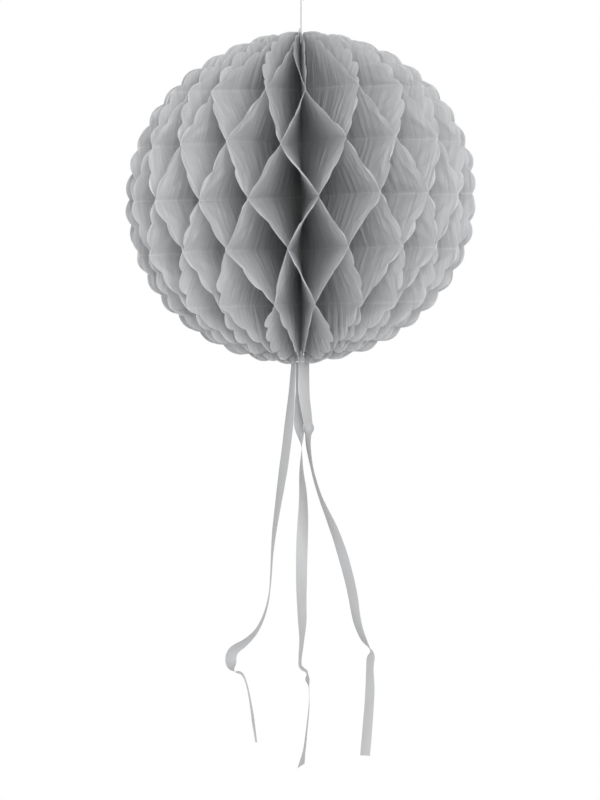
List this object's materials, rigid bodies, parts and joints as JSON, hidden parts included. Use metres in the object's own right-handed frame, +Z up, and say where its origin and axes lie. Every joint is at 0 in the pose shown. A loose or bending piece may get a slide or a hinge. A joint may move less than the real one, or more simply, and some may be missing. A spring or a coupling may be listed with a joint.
{
  "type": "paper honeycomb ball",
  "caption": "Round honeycomb ball of scalloped tissue-paper sheets, hung by a string with a loop, with flat ribbons hanging below.",
  "frame": {"origin": "the point inside the top of the hanging loop where it rests on a hook", "axes": "+Z up along the string and the ball's axis, -Y towards the front, +X to the right seen from the front"},
  "size_m": [0.2982, 0.2986, 0.6949],
  "materials": {
    "tissue_paper": "matte",
    "string": "matte",
    "thread": "matte",
    "ribbon": "satin",
    "tape": "satin"
  },
  "bodies": {
    "loop": {"hanging_loop": "string"},
    "knot": {"loop_knot": "string"},
    "string": {"hanging_string": "string"},
    "core": {"top_knot": "string", "core_string": "string", "top_binding": "thread", "bottom_binding": "thread", "ribbon_knot": "string", "paper_sheet_01": "tissue_paper"},
    "sheet_02": {"paper_sheet_02": "tissue_paper"},
    "sheet_03": {"paper_sheet_03": "tissue_paper"},
    "sheet_04": {"paper_sheet_04": "tissue_paper"},
    "sheet_05": {"paper_sheet_05": "tissue_paper"},
    "sheet_06": {"paper_sheet_06": "tissue_paper"},
    "sheet_07": {"paper_sheet_07": "tissue_paper"},
    "sheet_08": {"paper_sheet_08": "tissue_paper"},
    "sheet_09": {"paper_sheet_09": "tissue_paper"},
    "sheet_10": {"paper_sheet_10": "tissue_paper"},
    "sheet_11": {"paper_sheet_11": "tissue_paper"},
    "sheet_12": {"paper_sheet_12": "tissue_paper"},
    "sheet_13": {"paper_sheet_13": "tissue_paper"},
    "sheet_14": {"paper_sheet_14": "tissue_paper"},
    "sheet_15": {"paper_sheet_15": "tissue_paper"},
    "sheet_16": {"paper_sheet_16": "tissue_paper"},
    "sheet_17": {"paper_sheet_17": "tissue_paper"},
    "sheet_18": {"paper_sheet_18": "tissue_paper"},
    "sheet_19": {"paper_sheet_19": "tissue_paper"},
    "sheet_20": {"paper_sheet_20": "tissue_paper"},
    "sheet_21": {"paper_sheet_21": "tissue_paper"},
    "sheet_22": {"paper_sheet_22": "tissue_paper"},
    "sheet_23": {"paper_sheet_23": "tissue_paper"},
    "sheet_24": {"paper_sheet_24": "tissue_paper"},
    "sheet_25": {"paper_sheet_25": "tissue_paper"},
    "sheet_26": {"paper_sheet_26": "tissue_paper"},
    "sheet_27": {"paper_sheet_27": "tissue_paper"},
    "sheet_28": {"paper_sheet_28": "tissue_paper"},
    "sheet_29": {"paper_sheet_29": "tissue_paper"},
    "sheet_30": {"paper_sheet_30": "tissue_paper"},
    "sheet_31": {"paper_sheet_31": "tissue_paper"},
    "sheet_32": {"paper_sheet_32": "tissue_paper"},
    "sheet_33": {"paper_sheet_33": "tissue_paper"},
    "sheet_34": {"paper_sheet_34": "tissue_paper"},
    "sheet_35": {"paper_sheet_35": "tissue_paper"},
    "sheet_36": {"paper_sheet_36": "tissue_paper"},
    "sheet_37": {"paper_sheet_37": "tissue_paper"},
    "sheet_38": {"paper_sheet_38": "tissue_paper", "seam_tapes": "tape"},
    "ribbon_left": {"ribbon_left": "ribbon"},
    "ribbon_middle": {"ribbon_middle": "ribbon"},
    "ribbon_right": {"ribbon_right": "ribbon"}
  },
  "joints": [
    {"name": "swing_sideways", "type": "hinge", "parent": "loop", "child": "knot", "pos_m": [0, 0, -0.03], "axis": [0, 1, 0], "range_deg": [-60, 60]},
    {"name": "swing_forwards", "type": "hinge", "parent": "knot", "child": "string", "pos_m": [0, 0, -0.03], "axis": [1, 0, 0], "range_deg": [-60, 60]},
    {"name": "twirl", "type": "hinge", "parent": "string", "child": "core", "pos_m": [0, 0, -0.205], "axis": [0, 0, 1], "continuous": true},
    {"name": "fold", "type": "hinge", "parent": "core", "child": "sheet_38", "pos_m": [0, 0, -0.205], "axis": [0, 0, 1], "range_deg": [-337, 0], "deforming": ["paper_sheet_01", "paper_sheet_02", "paper_sheet_03", "paper_sheet_04", "paper_sheet_05", "paper_sheet_06", "paper_sheet_07", "paper_sheet_08", "paper_sheet_09", "paper_sheet_10", "paper_sheet_11", "paper_sheet_12", "paper_sheet_13", "paper_sheet_14", "paper_sheet_15", "paper_sheet_16", "paper_sheet_17", "paper_sheet_18", "paper_sheet_19", "paper_sheet_20", "paper_sheet_21", "paper_sheet_22", "paper_sheet_23", "paper_sheet_24", "paper_sheet_25", "paper_sheet_26", "paper_sheet_27", "paper_sheet_28", "paper_sheet_29", "paper_sheet_30", "paper_sheet_31", "paper_sheet_32", "paper_sheet_33", "paper_sheet_34", "paper_sheet_35", "paper_sheet_36", "paper_sheet_37", "paper_sheet_38", "seam_tapes"]},
    {"name": "fold_02", "type": "hinge", "parent": "core", "child": "sheet_02", "pos_m": [0, 0, -0.205], "axis": [0, 0, 1], "range_deg": [-11.04, 0]},
    {"name": "fold_03", "type": "hinge", "parent": "core", "child": "sheet_03", "pos_m": [0, 0, -0.205], "axis": [0, 0, 1], "range_deg": [-21.42, 0]},
    {"name": "fold_04", "type": "hinge", "parent": "core", "child": "sheet_04", "pos_m": [0, 0, -0.205], "axis": [0, 0, 1], "range_deg": [-31.52, 0]},
    {"name": "fold_05", "type": "hinge", "parent": "core", "child": "sheet_05", "pos_m": [0, 0, -0.205], "axis": [0, 0, 1], "range_deg": [-41.24, 0]},
    {"name": "fold_06", "type": "hinge", "parent": "core", "child": "sheet_06", "pos_m": [0, 0, -0.205], "axis": [0, 0, 1], "range_deg": [-50.5, 0]},
    {"name": "fold_07", "type": "hinge", "parent": "core", "child": "sheet_07", "pos_m": [0, 0, -0.205], "axis": [0, 0, 1], "range_deg": [-59.3, 0]},
    {"name": "fold_08", "type": "hinge", "parent": "core", "child": "sheet_08", "pos_m": [0, 0, -0.205], "axis": [0, 0, 1], "range_deg": [-67.67, 0]},
    {"name": "fold_09", "type": "hinge", "parent": "core", "child": "sheet_09", "pos_m": [0, 0, -0.205], "axis": [0, 0, 1], "range_deg": [-75.71, 0]},
    {"name": "fold_10", "type": "hinge", "parent": "core", "child": "sheet_10", "pos_m": [0, 0, -0.205], "axis": [0, 0, 1], "range_deg": [-83.52, 0]},
    {"name": "fold_11", "type": "hinge", "parent": "core", "child": "sheet_11", "pos_m": [0, 0, -0.205], "axis": [0, 0, 1], "range_deg": [-91.25, 0]},
    {"name": "fold_12", "type": "hinge", "parent": "core", "child": "sheet_12", "pos_m": [0, 0, -0.205], "axis": [0, 0, 1], "range_deg": [-99.06, 0]},
    {"name": "fold_13", "type": "hinge", "parent": "core", "child": "sheet_13", "pos_m": [0, 0, -0.205], "axis": [0, 0, 1], "range_deg": [-107.1, 0]},
    {"name": "fold_14", "type": "hinge", "parent": "core", "child": "sheet_14", "pos_m": [0, 0, -0.205], "axis": [0, 0, 1], "range_deg": [-115.47, 0]},
    {"name": "fold_15", "type": "hinge", "parent": "core", "child": "sheet_15", "pos_m": [0, 0, -0.205], "axis": [0, 0, 1], "range_deg": [-124.27, 0]},
    {"name": "fold_16", "type": "hinge", "parent": "core", "child": "sheet_16", "pos_m": [0, 0, -0.205], "axis": [0, 0, 1], "range_deg": [-133.53, 0]},
    {"name": "fold_17", "type": "hinge", "parent": "core", "child": "sheet_17", "pos_m": [0, 0, -0.205], "axis": [0, 0, 1], "range_deg": [-143.24, 0]},
    {"name": "fold_18", "type": "hinge", "parent": "core", "child": "sheet_18", "pos_m": [0, 0, -0.205], "axis": [0, 0, 1], "range_deg": [-153.35, 0]},
    {"name": "fold_19", "type": "hinge", "parent": "core", "child": "sheet_19", "pos_m": [0, 0, -0.205], "axis": [0, 0, 1], "range_deg": [-163.73, 0]},
    {"name": "fold_20", "type": "hinge", "parent": "core", "child": "sheet_20", "pos_m": [0, 0, -0.205], "axis": [0, 0, 1], "range_deg": [-174.27, 0]},
    {"name": "fold_21", "type": "hinge", "parent": "core", "child": "sheet_21", "pos_m": [0, 0, -0.205], "axis": [0, 0, 1], "range_deg": [-184.81, 0]},
    {"name": "fold_22", "type": "hinge", "parent": "core", "child": "sheet_22", "pos_m": [0, 0, -0.205], "axis": [0, 0, 1], "range_deg": [-195.19, 0]},
    {"name": "fold_23", "type": "hinge", "parent": "core", "child": "sheet_23", "pos_m": [0, 0, -0.205], "axis": [0, 0, 1], "range_deg": [-205.29, 0]},
    {"name": "fold_24", "type": "hinge", "parent": "core", "child": "sheet_24", "pos_m": [0, 0, -0.205], "axis": [0, 0, 1], "range_deg": [-215.01, 0]},
    {"name": "fold_25", "type": "hinge", "parent": "core", "child": "sheet_25", "pos_m": [0, 0, -0.205], "axis": [0, 0, 1], "range_deg": [-224.27, 0]},
    {"name": "fold_26", "type": "hinge", "parent": "core", "child": "sheet_26", "pos_m": [0, 0, -0.205], "axis": [0, 0, 1], "range_deg": [-233.07, 0]},
    {"name": "fold_27", "type": "hinge", "parent": "core", "child": "sheet_27", "pos_m": [0, 0, -0.205], "axis": [0, 0, 1], "range_deg": [-241.44, 0]},
    {"name": "fold_28", "type": "hinge", "parent": "core", "child": "sheet_28", "pos_m": [0, 0, -0.205], "axis": [0, 0, 1], "range_deg": [-249.47, 0]},
    {"name": "fold_29", "type": "hinge", "parent": "core", "child": "sheet_29", "pos_m": [0, 0, -0.205], "axis": [0, 0, 1], "range_deg": [-257.29, 0]},
    {"name": "fold_30", "type": "hinge", "parent": "core", "child": "sheet_30", "pos_m": [0, 0, -0.205], "axis": [0, 0, 1], "range_deg": [-265.02, 0]},
    {"name": "fold_31", "type": "hinge", "parent": "core", "child": "sheet_31", "pos_m": [0, 0, -0.205], "axis": [0, 0, 1], "range_deg": [-272.83, 0]},
    {"name": "fold_32", "type": "hinge", "parent": "core", "child": "sheet_32", "pos_m": [0, 0, -0.205], "axis": [0, 0, 1], "range_deg": [-280.86, 0]},
    {"name": "fold_33", "type": "hinge", "parent": "core", "child": "sheet_33", "pos_m": [0, 0, -0.205], "axis": [0, 0, 1], "range_deg": [-289.24, 0]},
    {"name": "fold_34", "type": "hinge", "parent": "core", "child": "sheet_34", "pos_m": [0, 0, -0.205], "axis": [0, 0, 1], "range_deg": [-298.04, 0]},
    {"name": "fold_35", "type": "hinge", "parent": "core", "child": "sheet_35", "pos_m": [0, 0, -0.205], "axis": [0, 0, 1], "range_deg": [-307.3, 0]},
    {"name": "fold_36", "type": "hinge", "parent": "core", "child": "sheet_36", "pos_m": [0, 0, -0.205], "axis": [0, 0, 1], "range_deg": [-317.01, 0]},
    {"name": "fold_37", "type": "hinge", "parent": "core", "child": "sheet_37", "pos_m": [0, 0, -0.205], "axis": [0, 0, 1], "range_deg": [-327.11, 0]},
    {"name": "sway_left", "type": "hinge", "parent": "core", "child": "ribbon_left", "pos_m": [0, 0, -0.342], "axis": [1, 0, 0], "range_deg": [-40, 40]},
    {"name": "sway_middle", "type": "hinge", "parent": "core", "child": "ribbon_middle", "pos_m": [0, 0, -0.342], "axis": [1, 0, 0], "range_deg": [-40, 40]},
    {"name": "sway_right", "type": "hinge", "parent": "core", "child": "ribbon_right", "pos_m": [0, 0, -0.342], "axis": [1, 0, 0], "range_deg": [-40, 40]}
  ],
  "couplings": [
    {"joint": "fold_02", "follows": "fold", "ratio": 0.03127},
    {"joint": "fold_03", "follows": "fold", "ratio": 0.06209},
    {"joint": "fold_04", "follows": "fold", "ratio": 0.09206},
    {"joint": "fold_05", "follows": "fold", "ratio": 0.12088},
    {"joint": "fold_06", "follows": "fold", "ratio": 0.14836},
    {"joint": "fold_07", "follows": "fold", "ratio": 0.17448},
    {"joint": "fold_08", "follows": "fold", "ratio": 0.19933},
    {"joint": "fold_09", "follows": "fold", "ratio": 0.22316},
    {"joint": "fold_10", "follows": "fold", "ratio": 0.24634},
    {"joint": "fold_11", "follows": "fold", "ratio": 0.26929},
    {"joint": "fold_12", "follows": "fold", "ratio": 0.29247},
    {"joint": "fold_13", "follows": "fold", "ratio": 0.31631},
    {"joint": "fold_14", "follows": "fold", "ratio": 0.34116},
    {"joint": "fold_15", "follows": "fold", "ratio": 0.36727},
    {"joint": "fold_16", "follows": "fold", "ratio": 0.39475},
    {"joint": "fold_17", "follows": "fold", "ratio": 0.42357},
    {"joint": "fold_18", "follows": "fold", "ratio": 0.45355},
    {"joint": "fold_19", "follows": "fold", "ratio": 0.48437},
    {"joint": "fold_20", "follows": "fold", "ratio": 0.51563},
    {"joint": "fold_21", "follows": "fold", "ratio": 0.5469},
    {"joint": "fold_22", "follows": "fold", "ratio": 0.57772},
    {"joint": "fold_23", "follows": "fold", "ratio": 0.60769},
    {"joint": "fold_24", "follows": "fold", "ratio": 0.63651},
    {"joint": "fold_25", "follows": "fold", "ratio": 0.664},
    {"joint": "fold_26", "follows": "fold", "ratio": 0.69011},
    {"joint": "fold_27", "follows": "fold", "ratio": 0.71496},
    {"joint": "fold_28", "follows": "fold", "ratio": 0.73879},
    {"joint": "fold_29", "follows": "fold", "ratio": 0.76197},
    {"joint": "fold_30", "follows": "fold", "ratio": 0.78493},
    {"joint": "fold_31", "follows": "fold", "ratio": 0.80811},
    {"joint": "fold_32", "follows": "fold", "ratio": 0.83194},
    {"joint": "fold_33", "follows": "fold", "ratio": 0.85679},
    {"joint": "fold_34", "follows": "fold", "ratio": 0.8829},
    {"joint": "fold_35", "follows": "fold", "ratio": 0.91039},
    {"joint": "fold_36", "follows": "fold", "ratio": 0.93921},
    {"joint": "fold_37", "follows": "fold", "ratio": 0.96918}
  ]
}
